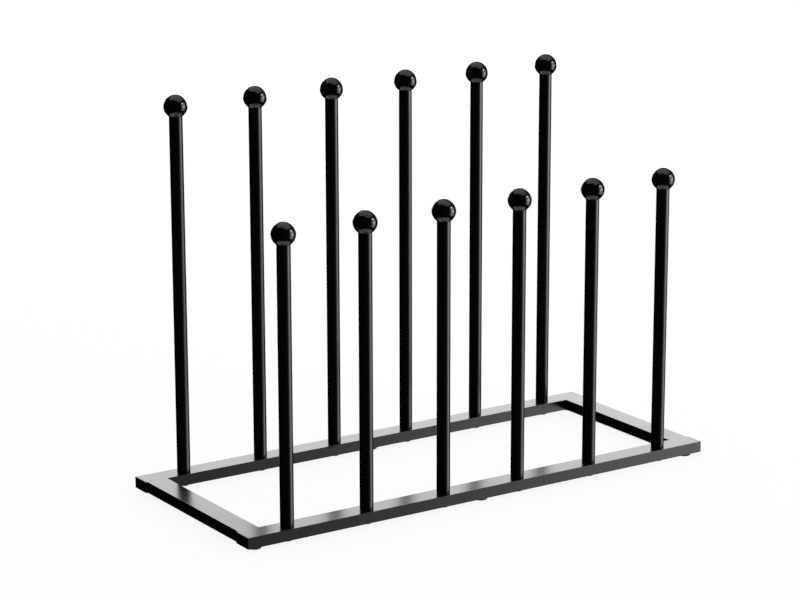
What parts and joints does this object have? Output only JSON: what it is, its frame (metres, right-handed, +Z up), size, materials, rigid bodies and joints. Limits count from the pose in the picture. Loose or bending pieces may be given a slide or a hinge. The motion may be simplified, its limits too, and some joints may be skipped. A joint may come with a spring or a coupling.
{
  "type": "boot rack",
  "caption": "Free-standing boot rack: a flat rectangular base of black steel tube with a short front row and a tall back row of upright rods, each topped by a ball knob.",
  "frame": {"origin": "centre of the base's footprint, on the floor under the feet", "axes": "+X to the right along both rows of rods, +Y from the short front row to the tall back row, +Z up"},
  "size_m": [0.61, 0.251, 0.4459],
  "materials": {
    "powder_coated_steel": "smooth gloss black powder coat on rectangular steel tube",
    "powder_coated_tube": "smooth gloss black powder coat on round steel tube",
    "gloss_knob_plastic": "glossy moulded black plastic",
    "moulded_cap_plastic": "semi-gloss moulded black plastic",
    "moulded_foot_plastic": "dull moulded black elastomer",
    "plug_steel": "turned bright zinc-plated steel",
    "black_bolt_steel": "black oxide steel, lightly oiled"
  },
  "bodies": {
    "root": {"front_rail": "powder_coated_steel", "back_rail": "powder_coated_steel", "left_end_rail": "powder_coated_steel", "right_end_rail": "powder_coated_steel", "corner_welds": "powder_coated_steel", "front_left_cap": "moulded_cap_plastic", "front_right_cap": "moulded_cap_plastic", "front_left_foot": "moulded_foot_plastic", "front_middle_foot": "moulded_foot_plastic", "front_right_foot": "moulded_foot_plastic", "back_left_cap": "moulded_cap_plastic", "back_right_cap": "moulded_cap_plastic", "back_left_foot": "moulded_foot_plastic", "back_middle_foot": "moulded_foot_plastic", "back_right_foot": "moulded_foot_plastic", "tall_rod_1": "powder_coated_tube", "tall_knob_1": "gloss_knob_plastic", "tall_rod_plug_1": "plug_steel", "tall_rod_2": "powder_coated_tube", "tall_knob_2": "gloss_knob_plastic", "tall_rod_plug_2": "plug_steel", "tall_rod_3": "powder_coated_tube", "tall_knob_3": "gloss_knob_plastic", "tall_rod_plug_3": "plug_steel", "tall_rod_4": "powder_coated_tube", "tall_knob_4": "gloss_knob_plastic", "tall_rod_plug_4": "plug_steel", "tall_rod_5": "powder_coated_tube", "tall_knob_5": "gloss_knob_plastic", "tall_rod_plug_5": "plug_steel", "tall_rod_6": "powder_coated_tube", "tall_knob_6": "gloss_knob_plastic", "tall_rod_plug_6": "plug_steel", "short_rod_1": "powder_coated_tube", "short_knob_1": "gloss_knob_plastic", "short_rod_plug_1": "plug_steel", "short_rod_2": "powder_coated_tube", "short_knob_2": "gloss_knob_plastic", "short_rod_plug_2": "plug_steel", "short_rod_3": "powder_coated_tube", "short_knob_3": "gloss_knob_plastic", "short_rod_plug_3": "plug_steel", "short_rod_4": "powder_coated_tube", "short_knob_4": "gloss_knob_plastic", "short_rod_plug_4": "plug_steel", "short_rod_5": "powder_coated_tube", "short_knob_5": "gloss_knob_plastic", "short_rod_plug_5": "plug_steel", "short_rod_6": "powder_coated_tube", "short_knob_6": "gloss_knob_plastic", "short_rod_plug_6": "plug_steel", "rod_bolts": "black_bolt_steel"}
  },
  "joints": []
}
